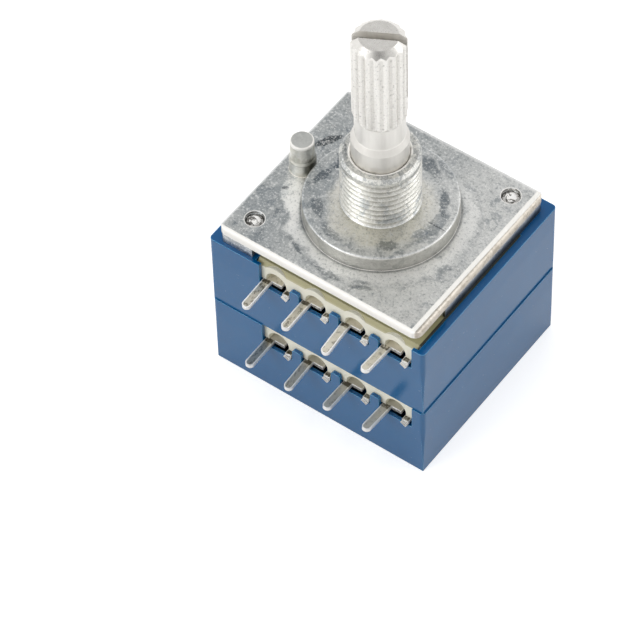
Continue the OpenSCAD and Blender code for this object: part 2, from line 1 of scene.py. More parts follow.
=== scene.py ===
# %% [markdown]
# # A two-gang rotary potentiometer
# The part is a volume control as it comes out of the box: a die-cast plate with a threaded bushing,
# a split serrated shaft, and two blue moulded housings with four tinned terminals each.
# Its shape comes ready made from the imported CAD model. This lesson gives it a camera, light and
# finishes, and adds the crowned ends of its two screws.

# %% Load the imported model
import json
import math
import bmesh
import bpy
from mathutils import Matrix, Vector


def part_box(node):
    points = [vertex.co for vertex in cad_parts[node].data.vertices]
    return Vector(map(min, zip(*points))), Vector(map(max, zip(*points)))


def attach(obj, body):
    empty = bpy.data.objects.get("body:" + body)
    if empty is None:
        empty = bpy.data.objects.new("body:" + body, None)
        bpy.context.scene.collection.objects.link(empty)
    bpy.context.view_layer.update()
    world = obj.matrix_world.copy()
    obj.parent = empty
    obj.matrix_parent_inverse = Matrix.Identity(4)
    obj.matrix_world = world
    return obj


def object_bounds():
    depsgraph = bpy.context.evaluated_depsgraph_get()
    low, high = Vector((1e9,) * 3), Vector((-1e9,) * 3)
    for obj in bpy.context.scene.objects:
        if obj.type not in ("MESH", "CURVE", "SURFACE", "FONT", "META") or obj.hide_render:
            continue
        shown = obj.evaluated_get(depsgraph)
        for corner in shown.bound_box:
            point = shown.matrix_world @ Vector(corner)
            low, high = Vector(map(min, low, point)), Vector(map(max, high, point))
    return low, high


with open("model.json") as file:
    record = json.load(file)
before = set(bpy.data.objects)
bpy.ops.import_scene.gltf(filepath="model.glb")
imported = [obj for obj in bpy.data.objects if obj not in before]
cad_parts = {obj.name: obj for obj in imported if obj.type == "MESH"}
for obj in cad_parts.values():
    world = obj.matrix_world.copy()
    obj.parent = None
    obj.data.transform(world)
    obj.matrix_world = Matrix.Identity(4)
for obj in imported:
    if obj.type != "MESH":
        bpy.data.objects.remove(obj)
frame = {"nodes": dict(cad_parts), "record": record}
cad_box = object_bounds()
nodes = frame["nodes"]
print("nodes:", len(nodes), "CAD box in mm:", [[round(v * 1000, 2) for v in p] for p in cad_box])

# %% [markdown]
# ## The camera
# The photograph was taken from above and to the right of the terminal side. A camera is easiest to
# place by what it looks at: a target point, a compass angle, a height above the horizon and a
# distance. A small roll finishes it. The lens is long, so the edges run nearly parallel.

# %% Place the camera
# Places and distances are in metres, as Blender counts, and the lens is in mm
AZIMUTH, ELEVATION, ROLL = (math.radians(degrees) for degrees in (37.54, 51.61, -1.94))
TARGET = Vector((0.00066, -0.01240, -0.00811))
DISTANCE = 0.430
LENS = 224.07

right = Vector((math.cos(AZIMUTH), math.sin(AZIMUTH), 0))
level = Vector((math.sin(AZIMUTH), -math.cos(AZIMUTH), 0))
back = level * math.cos(ELEVATION) + Vector((0, 0, math.sin(ELEVATION)))
up = back.cross(right)
side = right * math.cos(ROLL) + up * math.sin(ROLL)
rise = up * math.cos(ROLL) - right * math.sin(ROLL)

camera = bpy.data.objects.new("camera", bpy.data.cameras.new("camera"))
bpy.context.scene.collection.objects.link(camera)
turned = Matrix((side, rise, back)).transposed().to_4x4()
camera.matrix_world = Matrix.Translation(TARGET + back * DISTANCE) @ turned
camera.data.sensor_width = 36
camera.data.lens = LENS
camera.data.clip_start = 0.01
bpy.context.scene.camera = camera
bpy.context.scene.view_settings.view_transform = "Standard"
print("camera at, in mm:", [round(v * 1000, 1) for v in camera.matrix_world.translation])

# %% [markdown]
# ## Colour and one node helper
# Colours are picked as sRGB hex values, as in any paint program, but shaders want linear light, so
# one function turns them. The other function adds a shader node: its inputs are values or other
# nodes, in order or by name, and its settings follow.

# %% Helpers
def linear(hex_colour):
    """Linear RGBA of an sRGB hex colour."""
    parts = [int(hex_colour[i:i + 2], 16) / 255 for i in (1, 3, 5)]
    return (*[c / 12.92 if c <= 0.04045 else ((c + 0.055) / 1.055) ** 2.4 for c in parts], 1)


def add(tree, kind, inputs=(), **settings):
    """Adds a node. A node given as an input stands for its first live output."""
    node = tree.nodes.new("ShaderNode" + kind)
    for name, value in settings.items():
        setattr(node, name, value)
    live = [socket for socket in node.inputs if socket.enabled]
    for key, value in inputs.items() if isinstance(inputs, dict) else enumerate(inputs):
        socket = live[key] if isinstance(key, int) else next(s for s in live if s.name == key)
        if isinstance(value, bpy.types.Node):
            value = next(output for output in value.outputs if output.enabled)
        if isinstance(value, bpy.types.NodeSocket):
            tree.links.new(value, socket)
        else:
            socket.default_value = value
    return node


print("a mid grey, linear:", [round(v, 3) for v in linear("#808080")])

# %% [markdown]
# ## Floor and world
# A product shot on white: the floor is pale and catches the soft shadow, and the camera and the
# reflections see it as white. That white comes from Light Path and adds no light to the object.
# Metal is only as good as what it mirrors, so the mirrored sky has some structure: white low down,
# like big reflectors, mid grey overhead, and a darker patch where the camera stands.

# %% Make the floor
FLOOR_SIZE = 3
FLOOR_GLOW_SEEN, FLOOR_GLOW_MIRRORED = 0.62, 0.42

bpy.ops.mesh.primitive_plane_add(size=FLOOR_SIZE)
floor = bpy.context.object
floor.name = "floor"
floor.data.transform(Matrix.Translation((0, 0, cad_box[0].z - 0.00002)))

paper = bpy.data.materials.new("white_paper_sweep")
paper.use_nodes = True
t = paper.node_tree
t.nodes.clear()
ray = add(t, "LightPath").outputs
mirrored = add(t, "Math", [ray["Is Glossy Ray"], ray["Is Transmission Ray"]], operation="MAXIMUM")
matt = add(t, "BsdfDiffuse", {"Color": linear("#d8d8d8")})
lit = add(t, "AddShader", [matt, add(t, "Emission", {"Strength": FLOOR_GLOW_SEEN})])
half_lit = add(t, "AddShader", [matt, add(t, "Emission", {"Strength": FLOOR_GLOW_MIRRORED})])
shade = add(t, "MixShader", [mirrored, matt, half_lit])
shade = add(t, "MixShader", [ray["Is Camera Ray"], shade, lit])
add(t, "OutputMaterial", [shade])
floor.data.materials.append(paper)
print("floor at, in mm:", round(cad_box[0].z * 1000, 2))

# %% Make the world
GREY_UP, WHITE_LOW, CAMERA_GREY = 0.62, 1.0, 0.42
SKY_FILL = 0.5

world = bpy.data.worlds.new("studio")
bpy.context.scene.world = world
world.use_nodes = True
t = world.node_tree
t.nodes.clear()
ray = add(t, "LightPath").outputs
direction = add(t, "TexCoord").outputs["Generated"]
height = add(t, "SeparateXYZ", [direction]).outputs["Z"]
toward_camera = add(t, "VectorMath", [direction, tuple(back)], operation="DOT_PRODUCT").outputs["Value"]
# Heights and directions are sines and cosines: the grey starts 30 degrees up and is full at 50
sky = add(t, "MapRange", [height, 0.50, 0.76, WHITE_LOW, GREY_UP], interpolation_type="SMOOTHSTEP")
patch = add(t, "MapRange", [toward_camera, 0.93, 0.99, 1, CAMERA_GREY], interpolation_type="SMOOTHSTEP")
sky = add(t, "Math", [sky, patch], operation="MULTIPLY")
mirrored = add(t, "Math", [ray["Is Glossy Ray"], ray["Is Transmission Ray"]], operation="MAXIMUM")
fill = add(t, "Background", {"Strength": SKY_FILL, "Color": (1, 1, 1, 1)})
mirror = add(t, "Background", {"Strength": sky, "Color": (1, 1, 1, 1)})
white = add(t, "Background", {"Strength": 1, "Color": (1, 1, 1, 1)})
shade = add(t, "MixShader", [mirrored, fill, mirror])
shade = add(t, "MixShader", [ray["Is Camera Ray"], shade, white])
add(t, "OutputWorld", [shade])
print("world nodes:", len(t.nodes))

# %% [markdown]
# ## Lamps
# Three soft boxes. The overhead one gives the top faces their light and stays out of reflections,
# where it would wash out the metal. The low front one and the side one are there to be mirrored:
# the worn edges of the casting face them, and that draws the bright outline of the plate.

# %% Hang the lamps
def soft_box(name, toward, distance, size, watts, mirrored=True):
    """A square lamp that faces the part. Its distance and size are in metres."""
    light = bpy.data.lights.new(name, "AREA")
    light.size = size
    light.energy = watts
    lamp = bpy.data.objects.new(name, light)
    bpy.context.scene.collection.objects.link(lamp)
    lamp.location = Vector(toward).normalized() * distance
    lamp.rotation_euler = (-lamp.location).to_track_quat("-Z", "Y").to_euler()
    lamp.visible_glossy = mirrored


soft_box("overhead_box", (-0.15, 0.1, 1), distance=0.80, size=0.5, watts=2.3, mirrored=False)
soft_box("front_box", (-0.38, -0.78, 0.49), distance=0.75, size=0.35, watts=1.5)
soft_box("side_box", (0.78, 0.49, 0.38), distance=0.75, size=0.35, watts=0.8)

# %% [markdown]
# ## What every finish shares
# A new material starts with its shader and the object coordinates. Blender counts in metres and
# this part in millimetres, so the coordinates are scaled once. After that a place on the part is
# written as on a drawing, and a pattern of a given size has one over that size as its scale.
#
# The Bevel node looks round each point: where its rounded normal leaves the flat one, the point
# lies on an edge. That gives both a softly rounded edge and a mask for wear and for painted
# highlights. The other helpers make the masks that a painter would tape off: a band between two
# limits and a ragged oval spot. The last one lays a colour over such a mask.

# %% Material and edge helpers
def material(name):
    """A new material: the material, its tree, its shader and the place on the part in mm."""
    made = bpy.data.materials.new(name)
    made.use_nodes = True
    tree = made.node_tree
    metres = add(tree, "TexCoord").outputs["Object"]
    place = add(tree, "VectorMath", [metres, (1000, 1000, 1000)], operation="MULTIPLY")
    return made, tree, tree.nodes["Principled BSDF"], place


def wear_and_highlight_edges(tree, radius_mm, full=0.80):
    """How much a point lies on an edge, from 0 to 1 at the cosine full, and the rounded normal there."""
    rounded = add(tree, "Bevel", {"Radius": radius_mm / 1000}, samples=6)
    flat = add(tree, "NewGeometry").outputs["Normal"]
    cosine = add(tree, "VectorMath", [rounded, flat], operation="DOT_PRODUCT").outputs["Value"]
    return add(tree, "MapRange", [cosine, 0.995, full, 0, 1], interpolation_type="SMOOTHSTEP"), rounded


def finish(tree, shader, colour, roughness, normal):
    """Wires a finish into its shader."""
    for node, name in ((colour, "Base Color"), (roughness, "Roughness"), (normal, "Normal")):
        tree.links.new(next(output for output in node.outputs if output.enabled), shader.inputs[name])


def box_mm(node):
    """The lowest and the highest corner of a CAD node, in mm."""
    return [corner * 1000 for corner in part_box(node)]


print("shaft in mm:", [[round(v, 2) for v in corner] for corner in box_mm("shaft")])

# %% Helpers for masks and colours
def between(tree, value, low, high, soft):
    """1 where a value lies between two limits, with soft ends."""
    above = add(tree, "MapRange", [value, low - soft, low + soft, 0, 1], interpolation_type="SMOOTHSTEP")
    below = add(tree, "MapRange", [value, high + soft, high - soft, 0, 1], interpolation_type="SMOOTHSTEP")
    return add(tree, "Math", [above, below], operation="MULTIPLY")


def spot(tree, flat, wobble, x, y, length, width, turn):
    """1 inside an oval with a ragged outline, seen from above. Sizes are in mm, the turn in degrees."""
    oval = {"Vector": flat, "Location": (x, y, 0), "Rotation": (0, 0, math.radians(turn)),
            "Scale": (length / 2, width / 2, 1)}
    away = add(tree, "VectorMath", [add(tree, "Mapping", oval, vector_type="TEXTURE")], operation="LENGTH")
    away = add(tree, "Math", [wobble, 0.9, away.outputs["Value"]], operation="MULTIPLY_ADD")
    return add(tree, "MapRange", [away, 1.3, 0.7, 0, 1], interpolation_type="SMOOTHSTEP")


def tint(tree, colour, pattern, low, high, share, hex_colour):
    """Blends a colour in where a pattern runs from low to high."""
    amount = add(tree, "MapRange", [pattern, low, high, 0, share], interpolation_type="SMOOTHSTEP")
    return add(tree, "Mix", [amount, colour, linear(hex_colour)], data_type="RGBA")


print("mask and colour helpers:", [helper.__name__ for helper in (between, spot, tint)])

# %% [markdown]
# ## Raw die-cast zinc
# The plate, boss, bushing and lug are one zinc casting, left as it came out of the die and then
# tumbled. The metal is grey and satin. It has cloudy flow marks a few millimetres across, bluish
# dark stains, a coarse speckle of pits and rubbed points, and bright rubbed edges. Round the boss,
# where the tumbling stones reach less, a pale ring stays. A metal's look is its reflection, so the
# clouds change both the colour and the roughness.
#
# The colours are laid over each other like glazes: each one has a pattern that says where it goes,
# and how much of it. The next cells make those patterns, from noise at real sizes and from the
# distance to the shaft, the lug, the screw holes and the edges of the plate.

# %% Sizes of the casting, in mm
plate_low, plate_high = box_mm("mounting_plate")
FRONT, BACK, SIDE = plate_low.y, plate_high.y, plate_high.x
SKIRT_LOW, BUSH_TOP = plate_low.z, plate_high.z
PLATE_TOP, PLATE_UNDER = -2.08, -3.08
BOSS_R, BUSH_R, BORE_R, HOLE_R = 8.64, 4.45, 3.22, 1.04
THREAD_TOP = BUSH_TOP - 0.8
HALO_IN, HALO_OUT = BOSS_R + 0.26, BOSS_R + 1.66
LUG, LUG_R, LUG_TOP = (-10.5, 0, 0), 1.36, 2.5
print("plate in mm:", round(2 * SIDE, 2), "x", round(BACK - FRONT, 2), "bushing end at", round(BUSH_TOP, 2))

# %% Cast zinc: noises
cast_zinc, t, bsdf, place = material("cast_zinc_tumbled")
cloud = add(t, "TexNoise", {"Vector": place, "Scale": 1 / 4.5, "Detail": 4, "Roughness": 0.6,
                            "Distortion": 0.6})
stain = add(t, "TexNoise", {"Vector": place, "Scale": 1 / 2.4, "Detail": 5, "Roughness": 0.6,
                            "Distortion": 1})
fleck = add(t, "TexNoise", {"Vector": place, "Scale": 1 / 1.0, "Detail": 5, "Roughness": 0.75,
                            "Distortion": 0.3})
grain = add(t, "TexNoise", {"Vector": place, "Scale": 1 / 0.30, "Detail": 3, "Roughness": 0.8})
drift = add(t, "TexNoise", {"Vector": place, "Scale": 1 / 3.2, "Detail": 2.5, "Roughness": 0.5})
# Outlines that wander by up to 1.1 mm, and frayed ones with fine flecks along them too
ragged = add(t, "MapRange", [drift, 0.2, 0.8, -1.1, 1.1])
frayed = add(t, "Math", [ragged, 0.8], operation="SUBTRACT")
frayed = add(t, "Math", [fleck, 1.6, frayed], operation="MULTIPLY_ADD")
print("noises of the casting, in mm: 4.5, 3.2, 2.4, 1.0 and 0.3")

# %% Cast zinc: distances and directions
axes = add(t, "SeparateXYZ", [place]).outputs
flat_place = add(t, "VectorMath", [place, (1, 1, 0)], operation="MULTIPLY")
true_radius = add(t, "VectorMath", [flat_place], operation="LENGTH").outputs["Value"]
radius = add(t, "Math", [true_radius, ragged], operation="ADD")
lean = add(t, "SeparateXYZ", [add(t, "NewGeometry").outputs["True Normal"]]).outputs["Z"]
upright = between(t, lean, -0.6, 0.6, 0.1)
print("zinc nodes for places:", len(t.nodes))

# %% [markdown]
# ### Rings round the shaft
# The pale ring on the plate has a darker outline, and both fade towards the back left. The boss
# keeps a bluish ring near its edge and a pale collar round the bushing. The grooves of the thread
# have painted shade, and the flecks are weaker there than on the flat faces.

# %% Cast zinc: rings round the shaft
halo = between(t, radius, HALO_IN, HALO_OUT, 0.5)
halo_rim = between(t, radius, HALO_OUT + 0.5, HALO_OUT + 0.7, 0.4)
facing = add(t, "VectorMath", [place, (0.45, -0.90, 0)], operation="DOT_PRODUCT").outputs["Value"]
facing = add(t, "MapRange", [facing, -6, -1, 0.15, 1], interpolation_type="SMOOTHSTEP")
halo = add(t, "Math", [halo, facing], operation="MULTIPLY")
halo_rim = add(t, "Math", [halo_rim, facing], operation="MULTIPLY")
# A painted contact shadow: a dark ring on the plate round the foot of the boss
boss_foot_shadow = between(t, true_radius, BOSS_R - 0.04, BOSS_R + 0.26, 0.2)
boss_ring = between(t, radius, BOSS_R - 2.64, BOSS_R - 0.74, 0.6)
boss_ring = add(t, "Math", [boss_ring, cloud], operation="MULTIPLY")
# The palest part of the ring on the plate lies at its left
pale_spot = spot(t, flat_place, frayed, -9.0, -4.3, length=6.4, width=2.3, turn=-50)
on_plate = add(t, "Math", [true_radius, HALO_IN], operation="GREATER_THAN")
pale_spot = add(t, "Math", [pale_spot, on_plate], operation="MULTIPLY")
print("pale ring from", round(HALO_IN, 2), "to", round(HALO_OUT, 2), "mm")

# %% Cast zinc: collar and thread
COLLAR = (0.9, -1.3, 0)
collar = add(t, "VectorMath", [flat_place, COLLAR], operation="DISTANCE").outputs["Value"]
collar = add(t, "Math", [collar, ragged], operation="ADD")
collar = add(t, "MapRange", [collar, BUSH_R + 1.95, BUSH_R + 0.35, 0, 1])
on_boss = add(t, "Math", [true_radius, BUSH_R + 0.05], operation="GREATER_THAN")
collar = add(t, "Math", [collar, on_boss], operation="MULTIPLY")
# Times the height: nothing of it below the boss, and all of it from 0.2 mm above
threaded = between(t, true_radius, BORE_R + 0.08, BUSH_R + 0.25, 0.1)
threaded = add(t, "Math", [threaded, axes["Z"]], operation="MULTIPLY")
quiet = add(t, "MapRange", [threaded, 0, 0.2, 1, 0.80])
# Painted shade in the grooves of the thread, darker towards their roots
groove_shade = add(t, "MapRange", [true_radius, BUSH_R - 0.07, BUSH_R - 0.33, 0, 1])
groove_shade = add(t, "Math", [groove_shade, between(t, axes["Z"], 0.1, THREAD_TOP, 0.05)], operation="MULTIPLY")
print("threaded up to", round(THREAD_TOP, 2), "mm")

# %% [markdown]
# ### Edges of the plate
# The front and right rims are rubbed white over their rounding, with a painted highlight there, and the
# other two are only paler.
# Below the white line the right wall is a warmer grey with streaks, partly a painted reflection, and the
# skirt under it has painted shade.
# The right rim of the real plate isn't quite square to the front one, so its line leans a little.

# %% Cast zinc: rims and walls
# Painted light: the casting grows brighter towards the front right
painted_light_front_right = add(t, "VectorMath", [place, (0.95, -0.30, 0)], operation="DOT_PRODUCT").outputs["Value"]
painted_light_front_right = add(t, "MapRange", [painted_light_front_right, -7.5, 8.5, 0, 1], interpolation_type="SMOOTHSTEP")
at_plate = between(t, axes["Z"], PLATE_UNDER, PLATE_TOP + 0.08, 0.03)
# The plate's side faces, later painted pale: wear and a painted reflection
plate_side_wear_and_reflection = add(t, "Math", [upright, at_plate], operation="MULTIPLY")
to_front = add(t, "MapRange", [axes["Y"], FRONT + 0.48, FRONT + 0.40, 0, 1], interpolation_type="SMOOTHSTEP")
to_back = add(t, "MapRange", [axes["Y"], BACK - 0.70, BACK - 0.50, 0, 1], interpolation_type="SMOOTHSTEP")
to_left = add(t, "MapRange", [axes["X"], 0.45 - SIDE, 0.30 - SIDE, 0, 1], interpolation_type="SMOOTHSTEP")
rightward = add(t, "VectorMath", [place, (1, -0.008, 0)], operation="DOT_PRODUCT").outputs["Value"]
to_right = add(t, "MapRange", [rightward, SIDE - 0.94, SIDE - 0.84, 0, 1], interpolation_type="SMOOTHSTEP")
outermost = add(t, "MapRange", [rightward, SIDE - 0.42, SIDE - 0.32, 0, 1], interpolation_type="SMOOTHSTEP")
right_wall = add(t, "Math", [outermost, at_plate], operation="MULTIPLY")
streaked = add(t, "Math", [right_wall, fleck], operation="MULTIPLY")
print("rims at", [round(v, 2) for v in (FRONT, BACK, -SIDE, SIDE)], "mm")

# %% Cast zinc: white and pale rims, skirt and boss wall
# Front and right rims: rubbed bare, with a painted highlight
rubbed_and_highlit_rim = add(t, "Math", [to_front, to_right], operation="MAXIMUM")
rubbed_and_highlit_rim = add(t, "Math", [rubbed_and_highlit_rim, at_plate], operation="MULTIPLY")
rubbed_and_highlit_rim = add(t, "Math", [rubbed_and_highlit_rim, right_wall], operation="SUBTRACT", use_clamp=True)
pale_rim = add(t, "Math", [to_back, to_left], operation="MAXIMUM")
pale_rim = add(t, "Math", [pale_rim, at_plate], operation="MULTIPLY")
# Painted shade on the skirt under the plate's right edge, darker lower down
shaded_skirt = add(t, "MapRange", [axes["Z"], PLATE_UNDER, SKIRT_LOW + 0.2, 0.15, 1])
shaded_skirt = add(t, "Math", [shaded_skirt, outermost], operation="MULTIPLY")
below_plate = add(t, "Math", [axes["Z"], PLATE_UNDER - 0.01], operation="LESS_THAN")
shaded_skirt = add(t, "Math", [shaded_skirt, below_plate], operation="MULTIPLY")
# The boss wall gets a warmer, paler grey: partly its own tone, partly a painted reflection
boss_wall_tone_and_reflection = between(t, true_radius, BOSS_R - 0.24, BOSS_R + 0.16, 0.1)
boss_wall_tone_and_reflection = add(t, "Math", [boss_wall_tone_and_reflection, upright], operation="MULTIPLY")
beside_boss = between(t, axes["Z"], PLATE_TOP + 0.08, -0.1, 0.03)
boss_wall_tone_and_reflection = add(t, "Math", [boss_wall_tone_and_reflection, beside_boss], operation="MULTIPLY")
print("skirt down to", round(SKIRT_LOW, 2), "mm")

# %% [markdown]
# ### Lug, bushing end and screw holes
# The lug is paler than the plate, dull on top inside a rubbed ring, and shaded on the side that
# faces the boss. The bushing end is stained, with a rubbed line at the bore that comes and goes.
# Each screw hole has a thin bright ring, a painted highlight, and its wall has painted shade in patches.

# %% Cast zinc: lug
from_lug = add(t, "VectorMath", [flat_place, LUG], operation="DISTANCE").outputs["Value"]
on_lug = add(t, "Math", [from_lug, LUG_R + 0.24], operation="LESS_THAN")
# Painted shade round the foot of the lug
lug_root_shade = add(t, "Math", [on_lug, between(t, axes["Z"], -0.45, 0.10, 0.04)], operation="MULTIPLY")
lug_side = add(t, "Math", [on_lug, upright], operation="MULTIPLY")
lug_side = add(t, "Math", [lug_side, stain], operation="MULTIPLY")
toward_boss = between(t, axes["X"], LUG[0] + 1, 0, 0.3)
lug_shade = add(t, "Math", [toward_boss, between(t, axes["Z"], -1.7, 0.2, 0.5)], operation="MULTIPLY")
lug_shade = add(t, "Math", [lug_shade, on_lug], operation="MULTIPLY")
lug_end = add(t, "Math", [axes["Z"], LUG_TOP - 0.4], operation="GREATER_THAN")
lug_top = add(t, "MapRange", [from_lug, LUG_R - 0.16, LUG_R - 0.24, 0, 1], interpolation_type="SMOOTHSTEP")
lug_top = add(t, "Math", [lug_top, lug_end], operation="MULTIPLY")
lug_line = between(t, from_lug, LUG_R - 0.15, LUG_R + 0.14, 0.04)
lug_line = add(t, "Math", [lug_line, lug_end], operation="MULTIPLY")
print("lug at", LUG, "mm, radius", LUG_R)

# %% Cast zinc: bushing end and screw holes
# The lug ends far below the bushing's last half millimetre, so height alone picks the bushing end
bush_end = add(t, "Math", [axes["Z"], BUSH_TOP - 0.5], operation="GREATER_THAN")
end_stain = add(t, "Math", [bush_end, fleck], operation="MULTIPLY")
bore_line = add(t, "Math", [between(t, true_radius, BORE_R - 0.12, BORE_R + 0.28, 0.04), bush_end],
                operation="MULTIPLY")
rubbed = add(t, "MapRange", [fleck, 0.40, 0.52, 0.2, 1])
bore_line = add(t, "Math", [bore_line, rubbed], operation="MULTIPLY")
screws = [sum(box_mm(name), Vector()) / 2 for name in ("left_screw", "right_screw")]
from_hole = [add(t, "VectorMath", [flat_place, (*screw.xy, 0)], operation="DISTANCE").outputs["Value"]
             for screw in screws]
from_hole = add(t, "Math", from_hole, operation="MINIMUM")
# A painted highlight: a thin bright ring round each screw hole
hole_highlight_ring = between(t, from_hole, HOLE_R + 0.08, HOLE_R + 0.17, 0.03)
# Painted shade in patches on the wall of each hole
hole_wall_shade = add(t, "MapRange", [from_hole, HOLE_R + 0.10, HOLE_R + 0.06, 0, 1],
                interpolation_type="SMOOTHSTEP")
hole_wall_shade = add(t, "Math", [hole_wall_shade, fleck], operation="MULTIPLY")
print("screw holes in mm:", [[round(v, 2) for v in screw.xy] for screw in screws])

# %% [markdown]
# ### The colours, from the bottom up
# First the metal with its clouds, with painted light that makes it brighter towards the front right,
# then the rings and stains. The marks are scuffs and stains at their own places: ovals with frayed
# outlines, each with its share and its colour. Flecks and grain come over them, so that every mark
# breaks up as on real metal.
# The edges come last, because they are rubbed bare whatever lies under them; some carry painted highlights
# and shade too.

# %% Cast zinc: clouds, rings and stains
tone = add(t, "Mix", [cloud, linear("#979fa5"), linear("#d8d9d6")], data_type="RGBA")
# Painted light, paler towards the front right
tone = tint(t, tone, painted_light_front_right, 0, 1, 0.66, "#f3f3f0")
tone = tint(t, tone, threaded, 0, 0.2, 0.50, "#dcd8cb")
# Painted shade in the thread grooves
tone = tint(t, tone, groove_shade, 0, 1, 0.55, "#7d796e")
tone = tint(t, tone, boss_ring, 0.40, 0.60, 0.55, "#6f7a83")
tone = tint(t, tone, stain, 0.53, 0.66, 0.55, "#79838b")
tone = tint(t, tone, collar, 0, 1, 0.80, "#f8f5ea")
tone = tint(t, tone, halo_rim, 0, 1, 0.50, "#747d84")
tone = tint(t, tone, halo, 0, 1, 0.82, "#f9f9f6")
tone = tint(t, tone, pale_spot, 0, 1, 0.85, "#fcfcf8")
tone = tint(t, tone, bush_end, 0, 1, 0.35, "#f6f6f2")
tone = tint(t, tone, end_stain, 0.46, 0.56, 0.60, "#757c81")
print("zinc nodes with the rings and stains:", len(t.nodes))

# %% Cast zinc: marks
# x, y, length and width in mm, turn in degrees, share and colour
MARKS = [
    (8.4, -9.0, 7.0, 4.4, 45, 0.50, "#f5f6f3"),  # pale front corner
    (-11.2, -5.6, 6.0, 2.6, 78, 0.30, "#88929a"),  # dull left corner
    (4.66, -5.06, 2.6, 1.2, 42, 0.60, "#5a6367"),  # front of the boss
    (-4.6, -5.2, 2.8, 1.2, -45, 0.55, "#59636a"),
    (-1.4, -7.2, 2.6, 0.7, -10, 0.45, "#656e73"),
    (-7.1, -1.3, 3.0, 1.1, 80, 0.70, "#47545f"),  # left of the boss
    (-6.6, 1.5, 2.6, 1.2, 110, 0.70, "#47545f"),
    (2.0, 6.6, 2.6, 1.2, -15, 0.60, "#56616a"),  # right of the boss
    (6.0, 3.5, 3.2, 0.9, -60, 0.60, "#5c676f"),
    (6.4, -1.8, 1.8, 0.9, 60, 0.45, "#748294"),
    (7.3, 0.04, 2.4, 0.14, 0, 0.70, "#55595c"),  # scratch on the boss
    (-4.4, -9.6, 3.4, 0.7, -24, 0.60, "#586269"),  # front of the plate
    (0.6, -10.6, 4.6, 0.6, -2, 0.55, "#5f696f"),
    (4.6, -10.1, 3.0, 0.6, 24, 0.45, "#666f74"),
    (-9.0, -6.6, 1.8, 0.9, -50, 0.45, "#5d676e"),
    (-10.4, 4.6, 2.6, 0.8, 62, 0.85, "#343c42"),  # by the lug
    (-10.3, -3.5, 0.9, 0.5, 30, 0.75, "#434b51"),
    (-3.65, 0.6, 1.6, 0.3, 84, 0.65, "#565d62"),  # bushing end
    (-3.1, -2.0, 1.7, 0.25, 130, 0.60, "#565d62"),
]
for *oval, share, colour in MARKS:
    tone = tint(t, tone, spot(t, flat_place, frayed, *oval), 0, 1, share, colour)
print("marks:", len(MARKS))

# %% Cast zinc: flecks and grain
for pattern, bright, dark in ((fleck, 0.55, 0.48), (grain, 0.80, 0.50)):
    calmed = add(t, "Math", [pattern, 0.5], operation="SUBTRACT")
    calmed = add(t, "Math", [calmed, quiet, 0.5], operation="MULTIPLY_ADD")
    tone = tint(t, tone, calmed, 0.52, 0.68, bright, "#fdfdfb")
    tone = tint(t, tone, calmed, 0.48, 0.28, dark, "#5d666c")
print("zinc nodes with the flecks and grain:", len(t.nodes))

# %% Cast zinc: lug, rims and edges
# Painted contact shadow round the foot of the boss
tone = tint(t, tone, boss_foot_shadow, 0, 1, 0.60, "#595d60")
# Boss wall: warmer tone and painted reflection
tone = tint(t, tone, boss_wall_tone_and_reflection, 0, 1, 0.35, "#cdc7b8")
tone = tint(t, tone, on_lug, 0, 1, 0.65, "#f0eee6")
tone = tint(t, tone, lug_side, 0.46, 0.62, 0.40, "#b5b19b")
tone = tint(t, tone, lug_shade, 0, 1, 0.70, "#4a4b41")
# Painted shade at the lug's foot
tone = tint(t, tone, lug_root_shade, 0, 1, 0.40, "#9b9c94")
tone = tint(t, tone, lug_top, 0, 1, 0.35, "#8a9195")
# Painted shade on the skirt
tone = tint(t, tone, shaded_skirt, 0, 1, 0.85, "#15191a")
# Plate side faces painted pale: wear and a painted reflection
tone = tint(t, tone, plate_side_wear_and_reflection, 0, 1, 0.80, "#fdf8f1")
tone = tint(t, tone, pale_rim, 0, 1, 0.55, "#f4f4f2")
# Painted shade on the hole walls
tone = tint(t, tone, hole_wall_shade, 0.42, 0.50, 0.78, "#2d2a24")
# The right wall's warm grey is partly a painted reflection
tone = tint(t, tone, right_wall, 0, 1, 0.85, "#d4ccc0")
tone = tint(t, tone, streaked, 0.46, 0.60, 0.40, "#9c9182")
edge, soft_normal = wear_and_highlight_edges(t, 0.09)
tone = tint(t, tone, edge, 0, 1, 0.90, "#fffefb")
print("zinc nodes with the edges:", len(t.nodes))

# %% [markdown]
# ### Bare metal, roughness and relief
# A face that lies flat mirrors the grey part of the sky, so no colour can make it white while it is
# all metal. Freshly rubbed zinc is full of tiny scratches and scatters more light than it mirrors.
# So the white lines, the pale ring and the bright points of the grain are less metallic.

# %% Cast zinc: bare metal
bare = add(t, "Math", [rubbed_and_highlit_rim, lug_line], operation="MAXIMUM")
bare = add(t, "Math", [bare, bore_line], operation="MAXIMUM")
hole_highlight_ring = add(t, "Math", [hole_highlight_ring, 0.8], operation="MULTIPLY")
bare = add(t, "Math", [bare, hole_highlight_ring], operation="MAXIMUM")
# White over the rubbed lines, a painted highlight on the front and right rims and the screw holes
tone = tint(t, tone, bare, 0, 1, 0.95, "#fffdf8")
for pale, share in ((pale_spot, 0.5), (halo, 0.22)):
    scattering = add(t, "Math", [pale, share], operation="MULTIPLY")
    bare = add(t, "Math", [bare, scattering], operation="MAXIMUM")
sparkle = add(t, "MapRange", [grain, 0.58, 0.70, 0, 0.4], interpolation_type="SMOOTHSTEP")
metal = add(t, "Math", [bare, sparkle], operation="MAXIMUM")
SCATTERED = 0.85
metal = add(t, "Math", [metal, -SCATTERED, 1], operation="MULTIPLY_ADD")
t.links.new(metal.outputs[0], bsdf.inputs["Metallic"])
print("share of metal left where it is rubbed bare:", round(1 - SCATTERED, 2))

